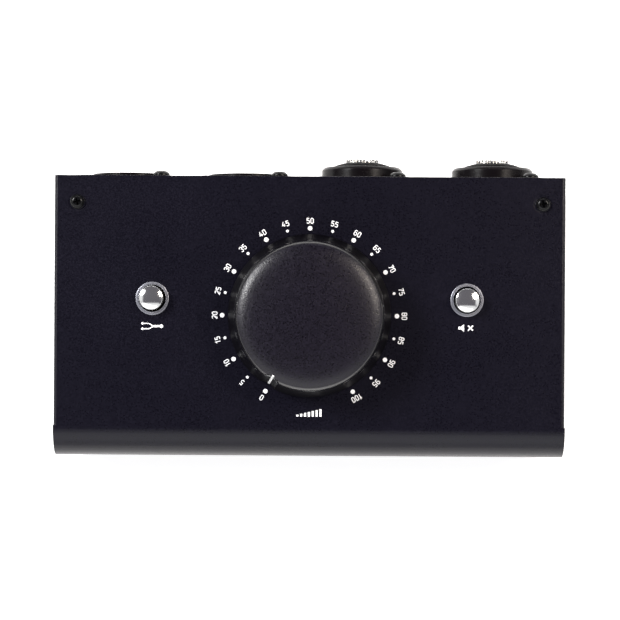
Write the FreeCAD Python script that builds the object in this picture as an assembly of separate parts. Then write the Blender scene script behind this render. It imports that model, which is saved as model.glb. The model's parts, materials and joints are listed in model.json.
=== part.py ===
import FreeCAD, Part
import math
import os

V = FreeCAD.Vector

# Sizes in millimetres. The panel frame has its origin on the top face under the knob's axis, +Y to the
# rear and +Z out of the top face. Everything is built there and then leaned back by TILT so that the base
# lies level. OVER is how far a cutting shape runs past the stock.
OVER = 1.0
TILT = 8.0
WIDTH = 139.0
SHEET = 1.2
REAR_Y = 37.8
BEND_Y = -30.15
BEND_R = 8.45
REAR_HEIGHT = 46.0
SIDE_SETBACK = 0.08
SIDE_BEND_R = 1.0
SEAM = 0.3
LIP_DEPTH = 8.0
HEM_R = 1.4
BASE_CLEAR = 0.25
BASE_SETBACK = 0.5
FLANGE_DEPTH = 11.0
SIDE_FLANGE = 9.0
SIDE_FLANGE_IN = 4.0
LIP_END_RISE = 5.0
PANEL_INSET = 1.2

SCREW_R = 1.5
SCREW_CLEAR = 0.2
SCREW_SIDE_IN = 6.3
SCREW_REAR_IN = 7.2
SCREW_LENGTH = 6.0
SCREW_HEAD_R = 1.96
SCREW_HEAD_H = 1.3
BASE_SCREW_SIDE_IN = 24.5
BASE_SCREW_LENGTH = 5.0
BASE_HEAD_R = 2.6
BASE_HEAD_H = 1.2

FOOT_R = 6.0
FOOT_H = 2.6
FOOT_SIDE_IN = 12.5
FOOT_FRONT_IN = 13.0
FOOT_REAR_IN = 11.0

KNOB_BASE_R = 22.2
KNOB_RIM_R = 19.85
KNOB_GAP = 0.8
KNOB_RIM_Z = 13.9
KNOB_DOME = 2.0
KNOB_ARCH = 1.25
KNOB_SHOULDER = 14
KNOB_DOME_SHARES = (1.0, 0.93, 0.75)
KNOB_RIM_CHAMFER = 0.6
KNOB_WALL = 2.4
KNOB_ROOF_T = 1.8
HUB_R = 5.2
HUB_Z = 4.8
RIB_T = 1.2
RIB_COUNT = 4
RIB_RISE = 2.5
RIB_ROOT = 0.5
BORE_RISE = 0.6
NOTCH_ANGLE = 210.8
NOTCH_R = 2.75
NOTCH_TOP_R = 18.6
NOTCH_FOOT_R = 21.5
NOTCH_TOP_RISE = 1.0

SHAFT_R = 3.0
SHAFT_RUN = 0.05
SHAFT_FIT = 0.02
SHAFT_FLAT = 1.0
SHAFT_GAP = 0.2
BUSH_R = 3.5
BUSH_TOP = 4.3
POT_R = 8.5
POT_H = 10.3
POT_FLOOR = 1.4
TERM_W = 13.0
TERM_OUT = 3.2
TERM_IN = 2.0
TERM_LOW = 0.6
TERM_HIGH = 1.4
LEG_PITCH = 5.0
LEG_ROWS = (2.4, 0.2)
LEG_W = 1.0
LEG_T = 0.6
LEG_IN = 1.2
WASHER_R = 6.2
WASHER_T = 0.5
NUT_AF = 10.0
NUT_H = 2.0

BUTTON_SIDE_IN = 26.8
BUTTON_Y = 4.46
BUTTON_TRAVEL = 2.5
CAP_R = 3.285
CAP_TOP = 3.8
CAP_DOME = 0.55
CAP_EDGE = 0.55
CAP_BOTTOM = 5.2
RING_R = 4.675
RING_BORE_R = 3.68
RING_BARREL_R = 4.2
RING_H = 0.45
RING_DEPTH = 3.2
STEM = 3.0
STEM_CLEAR = 0.1
STEM_SEAT = 2.4
STEM_ABOVE = 1.0
SWITCH = 8.6
SWITCH_TOP = 8.2
SWITCH_FLOOR = 0.8

BOARD_T = 1.6
BOARD_DROP = 16.5
BOARD_SIDE_IN = 14.5
BOARD_FRONT_Y = -32.0
BOARD_REAR_Y = 8.0
SPACER_SIDE_IN = 5.0
SPACER_FRONT_IN = 8.0
SPACER_R = 2.8
BACK_BOARD_Y = 13.0
BACK_BOARD_SIDE_IN = 5.5
BACK_BOARD_TOP = 7.0
BACK_BOARD_BOTTOM = 34.5
BACK_BOARD_CLEAR = 0.5

CONN_DROP = 20.5
FLANGE_W = 26.0
FLANGE_H = 31.0
FLANGE_T = 1.6
FLANGE_CORNER = 2.6
FIX_X = 9.5
FIX_Z = 12.0
FIX_CLEAR = 0.1
PANEL_HOLE_R = 12.0
BARREL_R = 11.8
GAP_SHARES = (0.245, 0.265, 0.265, 0.225)
OUT_RIM_R = 10.4
OUT_PROUD = 1.0
CUP_R = 9.5
CUP_DEPTH = 12.0
CUP_FLOOR = 2.0
PIN_R = 1.2
PIN_AT = ((-3.8, 1.5), (3.8, 1.5), (0.0, -4.1))
PIN_BELOW_RIM = 1.5
IN_RIM_R = 11.3
IN_PROUD = 3.3
IN_CHAMFER = 0.8
IN_BORE_R = 9.6
CORE_R = 7.6
CORE_PROUD = 4.6
CORE_SLOPE = 0.8
CORE_LAND = 0.45
CORE_BACK = 9.0
BUSHING_R = 4.45
BUSHING_PROUD = 0.9
BUSHING_DEPTH = 14.0
PIN_HOLE_R = 1.3
PIN_HOLE_DEPTH = 12.0
JACK_BORE_R = 3.2
MINI_GAP = 10.5
MINI_LEAD = 1.0
MINI_LEAD_T = 0.5
MINI_FLOOR = 1.2
MINI_LEADS = ((-0.33, 0.32), (0.33, 0.32), (0.0, -0.4))
MINI_BORE_R = 1.8
MINI_BUSH_R = 3.0
MINI_NUT_R = 4.0
MINI_NUT_H = 1.1
MINI_BODY_W = 9.0
MINI_BODY_H = 11.0
MINI_BODY_D = 13.4

HEADER_X = -20.0
HEADER_W = 14.0
HEADER_H = 6.0
HEADER_D = 6.0
RIBBON_W = 12.7
RIBBON_T = 0.9
RIBBON_BEND = 3.0
RIBBON_DROP = 2.0

ANGLE = math.radians(TILT)
COS = math.cos(ANGLE)
TAN = math.tan(ANGLE)
HALF = WIDTH / 2
FRONT_Y = BEND_Y - BEND_R
SIDE_X = HALF - SIDE_SETBACK
INNER_X = SIDE_X - SHEET
BASE_X = INNER_X - BASE_CLEAR
PANEL_Y = REAR_Y - PANEL_INSET
FACE_Y = PANEL_Y + FLANGE_T
BOARD_TOP_Z = -BOARD_DROP
BACK_Y = BACK_BOARD_Y
CORE_FACE_Y = FACE_Y + CORE_PROUD
BUTTON_X = HALF - BUTTON_SIDE_IN
SCREW_X = HALF - SCREW_SIDE_IN
SCREW_Y = REAR_Y - SCREW_REAR_IN
BASE_SCREW_X = HALF - BASE_SCREW_SIDE_IN
BASE_SCREW_Y = FRONT_Y + LIP_DEPTH * 0.6
FOOT_X = HALF - FOOT_SIDE_IN
BOARD_HALF_X = HALF - BOARD_SIDE_IN
SPACER_X = BOARD_HALF_X - SPACER_SIDE_IN
SPACER_Y = BOARD_FRONT_Y + SPACER_FRONT_IN
BACK_BOARD_HALF_X = HALF - BACK_BOARD_SIDE_IN

# The four flanges stand in a row across the rear panel. MINI_GAP is kept free between the last two for the
# small jack, and what is left of the width is shared out to both ends and between the other flanges.
spare = WIDTH - 4 * FLANGE_W - MINI_GAP
OUT_X = (
    -HALF + GAP_SHARES[0] * spare + FLANGE_W / 2,
    -HALF + (GAP_SHARES[0] + GAP_SHARES[1]) * spare + FLANGE_W * 1.5,
)
IN_X = (
    HALF - GAP_SHARES[3] * spare - MINI_GAP - FLANGE_W * 1.5,
    HALF - GAP_SHARES[3] * spare - FLANGE_W / 2,
)
MINI_X = (IN_X[0] + IN_X[1]) / 2


def base_z(y):
    """Height of the base's underside in the panel frame."""
    return -REAR_HEIGHT + (REAR_Y - y) * TAN


def box(x0, x1, y0, y1, z0, z1):
    return Part.makeBox(x1 - x0, y1 - y0, z1 - z0, V(x0, y0, z0))


def cyl_z(x, y, z0, z1, r):
    return Part.makeCylinder(r, z1 - z0, V(x, y, z0), V(0, 0, 1))


def cyl_y(x, z, y0, y1, r):
    return Part.makeCylinder(r, y1 - y0, V(x, y0, z), V(0, 1, 0))


def strip(x0, x1, path):
    """A closed outline in (y, z), four numbers being an arc's middle and end, run from x0 to x1."""
    edges = []
    first = V(x0, path[0][0], path[0][1])
    at = first
    for p in path[1:]:
        end = V(x0, p[-2], p[-1])
        if len(p) == 4:
            edges.append(Part.Arc(at, V(x0, p[0], p[1]), end).toShape())
        else:
            edges.append(Part.LineSegment(at, end).toShape())
        at = end
    edges.append(Part.LineSegment(at, first).toShape())
    return Part.Face(Part.Wire(edges)).extrude(V(x1 - x0, 0, 0))


def turned(path):
    """A closed outline in (radius, z), turned about Z. Four numbers are an arc's middle and end."""
    edges = []
    first = V(path[0][0], 0, path[0][1])
    at = first
    for p in path[1:]:
        end = V(p[-2], 0, p[-1])
        if len(p) == 4:
            edges.append(Part.Arc(at, V(p[0], 0, p[1]), end).toShape())
        else:
            edges.append(Part.LineSegment(at, end).toShape())
        at = end
    edges.append(Part.LineSegment(at, first).toShape())
    return Part.Face(Part.Wire(edges)).revolve(V(0, 0, 0), V(0, 0, 1), 360)


def arc_mid(cy, cz, r, deg):
    a = math.radians(deg)
    return cy + r * math.cos(a), cz + r * math.sin(a)


def edges_at(shape, test):
    return [e for e in shape.Edges if test(e)]


def all_near(e, value, axis, tol=1e-4):
    box_ = e.BoundBox
    lo = (box_.XMin, box_.YMin, box_.ZMin)[axis]
    hi = (box_.XMax, box_.YMax, box_.ZMax)[axis]
    return abs(lo - value) < tol and abs(hi - value) < tol


def to_rear(shape, x, z, y=0.0):
    """Turns a shape built about +Z so that its axis points to the rear, and moves it to a centre."""
    shape.Placement = FreeCAD.Placement(V(x, y, z), FreeCAD.Rotation(V(1, 0, 0), -90))
    return shape


def on_base(shape, x, y):
    """Moves a shape built on the base's underside, with +Z as its normal, to x, y in the panel frame."""
    shape.Placement = FreeCAD.Placement(V(x, y, base_z(y)), FreeCAD.Rotation(V(1, 0, 0), -TILT))
    return shape


parts = {}

# Top cover: one folded sheet, with a rounded front, a hem under it and two side walls that butt behind it.
up = SHEET / COS
hem = (FRONT_Y, base_z(FRONT_Y) + up)
lip_end = (hem[0] + LIP_DEPTH * COS, hem[1] - LIP_DEPTH * math.sin(ANGLE))
lip_top = (lip_end[0] + SHEET * math.sin(ANGLE), lip_end[1] + SHEET * COS)
inner_hem = (FRONT_Y + SHEET, base_z(FRONT_Y + SHEET) + 2 * up)
front = strip(-HALF, HALF, [
    (BEND_Y, 0.0),
    arc_mid(BEND_Y, -BEND_R, BEND_R, 135) + (FRONT_Y, -BEND_R),
    hem,
    lip_end,
    lip_top,
    inner_hem,
    (FRONT_Y + SHEET, -BEND_R),
    arc_mid(BEND_Y, -BEND_R, BEND_R - SHEET, 135) + (BEND_Y, -SHEET),
])
front = front.makeFillet(HEM_R, edges_at(
    front, lambda e: all_near(e, hem[0], 1) and all_near(e, hem[1], 2)))
for side in (-1, 1):
    x0, x1 = sorted((side * (INNER_X - SEAM), side * (HALF + OVER)))
    y0 = FRONT_Y + SHEET + SEAM / 2
    front = front.cut(box(x0, x1, y0, BEND_Y, base_z(FRONT_Y) - LIP_END_RISE, -BEND_R - LIP_END_RISE))
back_r = BEND_R - SHEET - SEAM
outline = [
    (REAR_Y, 0.0),
    (BEND_Y, 0.0),
    (BEND_Y, -SHEET - SEAM),
    arc_mid(BEND_Y, -BEND_R, back_r, 135) + (BEND_Y - back_r, -BEND_R),
    (BEND_Y - back_r, base_z(BEND_Y - back_r)),
    (REAR_Y, base_z(REAR_Y)),
]
shell = strip(-SIDE_X, SIDE_X, outline)
shell = shell.makeFillet(SIDE_BEND_R, edges_at(
    shell, lambda e: all_near(e, 0.0, 2) and (all_near(e, SIDE_X, 0) or all_near(e, -SIDE_X, 0))))
shell = shell.cut(box(-INNER_X, INNER_X, FRONT_Y - OVER, REAR_Y + OVER, -REAR_HEIGHT - OVER, -SHEET))
cover = shell.fuse(front)
for side in (-1, 1):
    cover = cover.cut(cyl_z(side * SCREW_X, SCREW_Y, -SHEET - OVER, OVER, SCREW_R + SCREW_CLEAR))
    cover = cover.cut(cyl_z(side * BUTTON_X, BUTTON_Y, -SHEET - OVER, OVER, RING_BARREL_R))
    lip_hole = cyl_z(0, 0, -OVER, 2 * up + OVER, SCREW_R)
    cover = cover.cut(on_base(lip_hole, side * BASE_SCREW_X, BASE_SCREW_Y))
cover = cover.cut(cyl_z(0, 0, -SHEET - OVER, OVER, BUSH_R))
parts["top_cover"] = cover.removeSplitter()

# Base chassis: bottom plate, rear panel with its top flange, and two low side flanges.
base = strip(-BASE_X, BASE_X, [
    (FRONT_Y + BASE_SETBACK, base_z(FRONT_Y + BASE_SETBACK)),
    (PANEL_Y, base_z(PANEL_Y)),
    (PANEL_Y, -SHEET),
    (PANEL_Y - FLANGE_DEPTH, -SHEET),
    (PANEL_Y - FLANGE_DEPTH, -2 * SHEET),
    (PANEL_Y - SHEET, -2 * SHEET),
    (PANEL_Y - SHEET, base_z(PANEL_Y - SHEET) + up),
    (FRONT_Y + BASE_SETBACK, base_z(FRONT_Y + BASE_SETBACK) + up),
])
base = base.makeFillet(HEM_R, edges_at(base, lambda e: all_near(e, PANEL_Y, 1) and (
    all_near(e, base_z(PANEL_Y), 2) or all_near(e, -SHEET, 2))))
for side in (-1, 1):
    x0, x1 = sorted((side * BASE_X, side * (BASE_X - SHEET)))
    y0, y1 = FRONT_Y + LIP_DEPTH + SIDE_FLANGE_IN, PANEL_Y - SIDE_FLANGE_IN
    base = base.fuse(strip(x0, x1, [
        (y0, base_z(y0) + up / 2), (y1, base_z(y1) + up / 2),
        (y1, base_z(y1) + SIDE_FLANGE), (y0, base_z(y0) + SIDE_FLANGE)]))
    base = base.cut(cyl_z(side * SCREW_X, SCREW_Y, -2 * SHEET - OVER, 0, SCREW_R))
    plate_hole = cyl_z(0, 0, -OVER, SHEET + OVER / 2, SCREW_R + SCREW_CLEAR)
    base = base.cut(on_base(plate_hole, side * BASE_SCREW_X, BASE_SCREW_Y))
for cx in OUT_X + IN_X:
    base = base.cut(cyl_y(cx, -CONN_DROP, PANEL_Y - SHEET - OVER, PANEL_Y + OVER, PANEL_HOLE_R))
base = base.cut(cyl_y(MINI_X, -CONN_DROP, PANEL_Y - SHEET - OVER, PANEL_Y + OVER, MINI_BUSH_R))
parts["base_chassis"] = base.removeSplitter()


def pan_screw(head_r, head_h, length):
    """Pan head screw standing on z = 0 with its shank below."""
    return turned([
        (0.0, -length), (SCREW_R, -length), (SCREW_R, 0.0), (head_r, 0.0), (head_r, head_h), (0.0, head_h)])


screws = []
for side in (-1, 1):
    s = pan_screw(SCREW_HEAD_R, SCREW_HEAD_H, SCREW_LENGTH)
    s.translate(V(side * SCREW_X, SCREW_Y, 0))
    screws.append(s)
parts["cover_screws"] = Part.Compound(screws)

screws = []
for side in (-1, 1):
    s = pan_screw(BASE_HEAD_R, BASE_HEAD_H, BASE_SCREW_LENGTH)
    s.rotate(V(0, 0, 0), V(1, 0, 0), 180)
    screws.append(on_base(Part.Compound([s]), side * BASE_SCREW_X, BASE_SCREW_Y))
parts["base_screws"] = Part.Compound([s for c in screws for s in c.Solids])

# Rubber feet on the underside.
for name, fx, fy in (
    ("foot_front_left", -FOOT_X, FRONT_Y + FOOT_FRONT_IN),
    ("foot_front_right", FOOT_X, FRONT_Y + FOOT_FRONT_IN),
    ("foot_rear_left", -FOOT_X, REAR_Y - FOOT_REAR_IN),
    ("foot_rear_right", FOOT_X, REAR_Y - FOOT_REAR_IN),
):
    parts[name] = on_base(cyl_z(0, 0, -FOOT_H, 0, FOOT_R), fx, fy)

# Level knob: drafted flank, rounded rim, domed top, hollow with hub and ribs, and a scalloped pointer notch.
draft = (KNOB_BASE_R - KNOB_RIM_R) / (KNOB_RIM_Z - KNOB_RIM_CHAMFER - KNOB_GAP)
dome_z = KNOB_RIM_Z + KNOB_DOME
dome_r = KNOB_RIM_R - KNOB_RIM_CHAMFER
dome = []
for share in KNOB_DOME_SHARES:
    fall = KNOB_ARCH * share ** 2 + (KNOB_DOME - KNOB_ARCH) * share ** KNOB_SHOULDER
    dome.append((dome_r * share, dome_z - fall))
solid = turned([
    (0.0, KNOB_GAP), (KNOB_BASE_R, KNOB_GAP), (KNOB_RIM_R, KNOB_RIM_Z - KNOB_RIM_CHAMFER)]
    + dome + [(0.0, dome_z)])
tan_n = (NOTCH_FOOT_R - NOTCH_TOP_R) / (KNOB_RIM_Z + NOTCH_TOP_RISE - KNOB_GAP)
lean = math.atan(tan_n)
low = -NOTCH_R
apex = NOTCH_FOOT_R + (KNOB_GAP - low) * tan_n
cutter = Part.makeCylinder(
    NOTCH_R, dome_z + 3 * NOTCH_R, V(0, apex + NOTCH_R * math.cos(lean), low + NOTCH_R * math.sin(lean)),
    V(0, -math.sin(lean), math.cos(lean)))
cutter.rotate(V(0, 0, 0), V(0, 0, 1), -NOTCH_ANGLE)
solid = solid.cut(cutter)
roof = KNOB_RIM_Z - KNOB_ROOF_T
top_in = KNOB_BASE_R - (roof - KNOB_GAP) * draft - KNOB_WALL
foot_in = KNOB_BASE_R - KNOB_WALL + OVER * draft
cavity = turned([(0.0, KNOB_GAP - OVER), (foot_in, KNOB_GAP - OVER), (top_in, roof), (0.0, roof)])
cavity = cavity.cut(cyl_z(0, 0, HUB_Z, roof + OVER, HUB_R))
for k in range(RIB_COUNT):
    rib = box(HUB_R - RIB_ROOT, KNOB_BASE_R, -RIB_T / 2, RIB_T / 2, HUB_Z + RIB_RISE, roof + OVER)
    rib.rotate(V(0, 0, 0), V(0, 0, 1), 360.0 / RIB_COUNT * k)
    cavity = cavity.cut(rib)
solid = solid.cut(cavity)
bore_top = roof + BORE_RISE
wide = 3 * SHAFT_R
d_bore = cyl_z(0, 0, HUB_Z - OVER, bore_top, SHAFT_R + SHAFT_FIT)
bore_flat = SHAFT_R - SHAFT_FLAT + SHAFT_FIT
d_bore = d_bore.cut(box(-wide, wide, bore_flat, wide, HUB_Z - 2 * OVER, bore_top + OVER))
solid = solid.cut(d_bore)
parts["level_knob"] = solid.removeSplitter()

# Potentiometer behind the panel: housing with bushing and terminals, shaft, washer and nut.
pot_low = -SHEET - POT_H
pot = cyl_z(0, 0, pot_low, -SHEET, POT_R)
pot = pot.fuse(box(
    -TERM_W / 2, TERM_W / 2, -POT_R - TERM_OUT, -POT_R + TERM_IN, pot_low + TERM_LOW, -SHEET - TERM_HIGH))
pot = pot.fuse(cyl_z(0, 0, -SHEET - OVER, BUSH_TOP, BUSH_R))
for px in (-LEG_PITCH, 0.0, LEG_PITCH):
    for row in LEG_ROWS:
        py = -POT_R - row
        pot = pot.fuse(box(
            px - LEG_W / 2, px + LEG_W / 2, py - LEG_T / 2, py + LEG_T / 2, BOARD_TOP_Z, pot_low + LEG_IN))
pot = pot.cut(cyl_z(0, 0, pot_low + POT_FLOOR, BUSH_TOP + OVER, SHAFT_R + SHAFT_RUN))
parts["pot_housing"] = pot.removeSplitter()
shaft = cyl_z(0, 0, pot_low + POT_FLOOR + SHAFT_GAP, bore_top - SHAFT_GAP, SHAFT_R)
shaft = shaft.cut(box(-wide, wide, SHAFT_R - SHAFT_FLAT, wide, BUSH_TOP + SHAFT_GAP, bore_top + OVER))
parts["pot_shaft"] = shaft
washer = cyl_z(0, 0, 0, WASHER_T, WASHER_R)
parts["pot_washer"] = washer.cut(cyl_z(0, 0, -OVER, WASHER_T + OVER, BUSH_R))
corner = NUT_AF / 2 / math.cos(math.pi / 6)
hexagon = Part.makePolygon([
    V(corner * math.cos(math.pi / 3 * k), corner * math.sin(math.pi / 3 * k), WASHER_T) for k in range(7)])
nut = Part.Face(hexagon).extrude(V(0, 0, NUT_H))
parts["pot_nut"] = nut.cut(cyl_z(0, 0, 0, WASHER_T + NUT_H + OVER, BUSH_R))

# Push buttons: bezel ring, domed cap, square stem and the switch on the board.
for name, bx in (("mono", -BUTTON_X), ("mute", BUTTON_X)):
    ring = turned([
        (RING_BORE_R, -RING_DEPTH), (RING_BARREL_R, -RING_DEPTH), (RING_BARREL_R, 0.0), (RING_R, 0.0),
        (RING_R, RING_H), (RING_BORE_R, RING_H)])
    ring.translate(V(bx, BUTTON_Y, 0))
    parts[name + "_ring"] = ring
    cap = turned([
        (0.0, -CAP_BOTTOM), (CAP_R, -CAP_BOTTOM), (CAP_R, CAP_TOP - CAP_DOME - CAP_EDGE),
        (CAP_R - CAP_EDGE, CAP_TOP - CAP_DOME), (0.0, CAP_TOP)])
    stem_top = -CAP_BOTTOM + STEM_SEAT
    cap = cap.cut(box(-STEM / 2, STEM / 2, -STEM / 2, STEM / 2, -CAP_BOTTOM - OVER, stem_top))
    cap.translate(V(bx, BUTTON_Y, 0))
    parts[name + "_cap"] = cap
    stem_low = BOARD_TOP_Z + BUTTON_TRAVEL + STEM_ABOVE
    stem = box(-STEM / 2, STEM / 2, -STEM / 2, STEM / 2, stem_low, stem_top)
    stem.translate(V(bx, BUTTON_Y, 0))
    parts[name + "_stem"] = stem
    half, hole = SWITCH / 2, STEM / 2 + STEM_CLEAR
    body = box(-half, half, -half, half, BOARD_TOP_Z, -SWITCH_TOP)
    body = body.cut(box(-hole, hole, -hole, hole, BOARD_TOP_Z + SWITCH_FLOOR, 0))
    body.translate(V(bx, BUTTON_Y, 0))
    parts[name + "_switch"] = body

# Boards, spacers, headers and the flat cable between them.
board = box(-BOARD_HALF_X, BOARD_HALF_X, BOARD_FRONT_Y, BOARD_REAR_Y, BOARD_TOP_Z - BOARD_T, BOARD_TOP_Z)
parts["control_board"] = board
parts["board_spacers"] = Part.Compound([
    cyl_z(side * SPACER_X, SPACER_Y, BOARD_TOP_Z, -SHEET, SPACER_R) for side in (-1, 1)])
back = box(
    -BACK_BOARD_HALF_X, BACK_BOARD_HALF_X, BACK_Y - BOARD_T, BACK_Y, -BACK_BOARD_BOTTOM, -BACK_BOARD_TOP)
for cx in IN_X:
    back = back.cut(cyl_y(
        cx, -CONN_DROP, BACK_Y - BOARD_T - OVER, BACK_Y + OVER, JACK_BORE_R + BACK_BOARD_CLEAR))
parts["connector_board"] = back
under = BOARD_TOP_Z - BOARD_T
head_y = BACK_Y - BOARD_T - HEADER_H
hy = head_y - RIBBON_BEND
hz = under - HEADER_H
rz = hz - RIBBON_DROP - RIBBON_BEND
parts["control_header"] = box(
    HEADER_X - HEADER_W / 2, HEADER_X + HEADER_W / 2, hy - HEADER_D / 2, hy + HEADER_D / 2, hz, under)
parts["connector_header"] = box(
    HEADER_X - HEADER_W / 2, HEADER_X + HEADER_W / 2, head_y, BACK_Y - BOARD_T,
    rz - HEADER_D / 2, rz + HEADER_D / 2)
t = RIBBON_T / 2
bend = rz + RIBBON_BEND
parts["ribbon_cable"] = strip(HEADER_X - RIBBON_W / 2, HEADER_X + RIBBON_W / 2, [
    (hy - t, hz), (hy - t, bend),
    arc_mid(hy + RIBBON_BEND, bend, RIBBON_BEND + t, 225) + (hy + RIBBON_BEND, rz - t),
    (hy + RIBBON_BEND, rz + t),
    arc_mid(hy + RIBBON_BEND, bend, RIBBON_BEND - t, 225) + (hy + t, bend),
    (hy + t, hz)])


def flange(cx):
    """Connector flange on the rear panel's outer face."""
    plate = box(
        cx - FLANGE_W / 2, cx + FLANGE_W / 2, PANEL_Y, FACE_Y,
        -CONN_DROP - FLANGE_H / 2, -CONN_DROP + FLANGE_H / 2)
    plate = plate.makeFillet(FLANGE_CORNER, edges_at(plate, lambda e: e.BoundBox.YLength > FLANGE_T / 2))
    for side in (-1, 1):
        x, z = cx + side * FIX_X, -CONN_DROP + side * FIX_Z
        plate = plate.cut(cyl_y(x, z, PANEL_Y - OVER, FACE_Y + OVER, SCREW_R + FIX_CLEAR))
    return plate


# Male three-pin outputs.
for name, cx in zip(("output_left", "output_right"), OUT_X):
    floor = PANEL_Y - CUP_DEPTH
    barrel_back = floor - CUP_FLOOR
    rim_y = FACE_Y + OUT_PROUD
    tube = turned([
        (0.0, barrel_back), (BARREL_R, barrel_back), (BARREL_R, PANEL_Y), (OUT_RIM_R, PANEL_Y),
        (OUT_RIM_R, rim_y), (0.0, rim_y)])
    to_rear(tube, cx, -CONN_DROP)
    body = flange(cx).fuse(tube)
    cup = cyl_y(cx, -CONN_DROP, barrel_back - OVER, rim_y + OVER, CUP_R)
    parts[name + "_shell"] = body.cut(cup).removeSplitter()
    insert = cyl_y(cx, -CONN_DROP, BACK_Y, floor, CUP_R)
    pins = []
    for px, pz in PIN_AT:
        x, z = cx + px, -CONN_DROP + pz
        insert = insert.cut(cyl_y(x, z, BACK_Y - OVER, floor + OVER, PIN_R))
        pins.append(cyl_y(x, z, BACK_Y, rim_y - PIN_BELOW_RIM, PIN_R))
    parts[name + "_insert"] = insert
    parts[name + "_pins"] = Part.Compound(pins)

# Combined three-pin and jack inputs.
for name, cx in zip(("input_left", "input_right"), IN_X):
    rim_y = FACE_Y + IN_PROUD
    tube = turned([
        (0.0, BACK_Y), (BARREL_R, BACK_Y), (BARREL_R, PANEL_Y), (IN_RIM_R, PANEL_Y),
        (IN_RIM_R, rim_y - IN_CHAMFER), (IN_RIM_R - IN_CHAMFER, rim_y), (0.0, rim_y)])
    to_rear(tube, cx, -CONN_DROP)
    body = flange(cx).fuse(tube)
    bore = cyl_y(cx, -CONN_DROP, BACK_Y - OVER, rim_y + OVER, IN_BORE_R)
    parts[name + "_shell"] = body.cut(bore).removeSplitter()
    core = turned([
        (0.0, BACK_Y), (IN_BORE_R, BACK_Y), (IN_BORE_R, BACK_Y + CORE_BACK), (CORE_R, BACK_Y + CORE_BACK),
        (CORE_R, CORE_FACE_Y - CORE_SLOPE), (BUSHING_R + CORE_LAND, CORE_FACE_Y), (0.0, CORE_FACE_Y)])
    step = CORE_FACE_Y - BUSHING_DEPTH
    ring = turned([
        (JACK_BORE_R, step), (BUSHING_R, step), (BUSHING_R, CORE_FACE_Y + BUSHING_PROUD),
        (JACK_BORE_R, CORE_FACE_Y + BUSHING_PROUD)])
    to_rear(core, cx, -CONN_DROP)
    to_rear(ring, cx, -CONN_DROP)
    core = core.cut(cyl_y(cx, -CONN_DROP, step, CORE_FACE_Y + OVER, BUSHING_R))
    core = core.cut(cyl_y(cx, -CONN_DROP, BACK_Y - OVER, CORE_FACE_Y, JACK_BORE_R))
    for px, pz in PIN_AT:
        hole = cyl_y(
            cx + px, -CONN_DROP + pz, CORE_FACE_Y - PIN_HOLE_DEPTH, CORE_FACE_Y + BUSHING_PROUD + OVER,
            PIN_HOLE_R)
        core = core.cut(hole)
        ring = ring.cut(hole)
    parts[name + "_insert"] = core.removeSplitter()
    parts[name + "_bushing"] = ring

# Small jack between the inputs.
inner = PANEL_Y - SHEET
back_y = inner - MINI_BODY_D
mini = box(
    MINI_X - MINI_BODY_W / 2, MINI_X + MINI_BODY_W / 2, back_y, inner,
    -CONN_DROP - MINI_BODY_H / 2, -CONN_DROP + MINI_BODY_H / 2)
nut_y = PANEL_Y + MINI_NUT_H
mini = mini.fuse(cyl_y(MINI_X, -CONN_DROP, inner - OVER, nut_y, MINI_BUSH_R))
for share_x, share_z in MINI_LEADS:
    x, z = MINI_X + share_x * MINI_BODY_W, -CONN_DROP + share_z * MINI_BODY_H
    lead_x, lead_z = MINI_LEAD / 2, MINI_LEAD_T / 2
    mini = mini.fuse(box(x - lead_x, x + lead_x, BACK_Y, back_y + OVER, z - lead_z, z + lead_z))
mini = mini.cut(cyl_y(MINI_X, -CONN_DROP, back_y + MINI_FLOOR, nut_y + OVER, MINI_BORE_R))
parts["mini_jack_body"] = mini.removeSplitter()
nut = cyl_y(MINI_X, -CONN_DROP, PANEL_Y, nut_y, MINI_NUT_R)
parts["mini_jack_nut"] = nut.cut(cyl_y(MINI_X, -CONN_DROP, PANEL_Y - OVER, nut_y + OVER, MINI_BUSH_R))

# Lean the whole unit back onto its feet, with the origin under the middle of its bounding box.
turn = FreeCAD.Placement(V(0, 0, 0), FreeCAD.Rotation(V(1, 0, 0), TILT))
low_y, high_y = 1e9, -1e9
for name in ("top_cover", "base_chassis", "input_left_bushing", "input_left_insert", "output_left_shell"):
    copy = parts[name].copy()
    copy.Placement = turn.multiply(copy.Placement)
    extent = copy.optimalBoundingBox(False, False)
    low_y, high_y = min(low_y, extent.YMin), max(high_y, extent.YMax)
lift = FOOT_H - (REAR_Y * math.sin(ANGLE) - REAR_HEIGHT * COS)
STAND = FreeCAD.Placement(V(0, -(low_y + high_y) / 2, lift), FreeCAD.Rotation(V(1, 0, 0), TILT))

os.makedirs("parts", exist_ok=True)
for name, shape in parts.items():
    placed = shape.copy()
    placed.Placement = STAND.multiply(placed.Placement)
    placed.exportStep("parts/" + name + ".step")
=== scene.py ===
import json
import math

import bmesh
import bpy
from mathutils import Matrix, Vector


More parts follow.
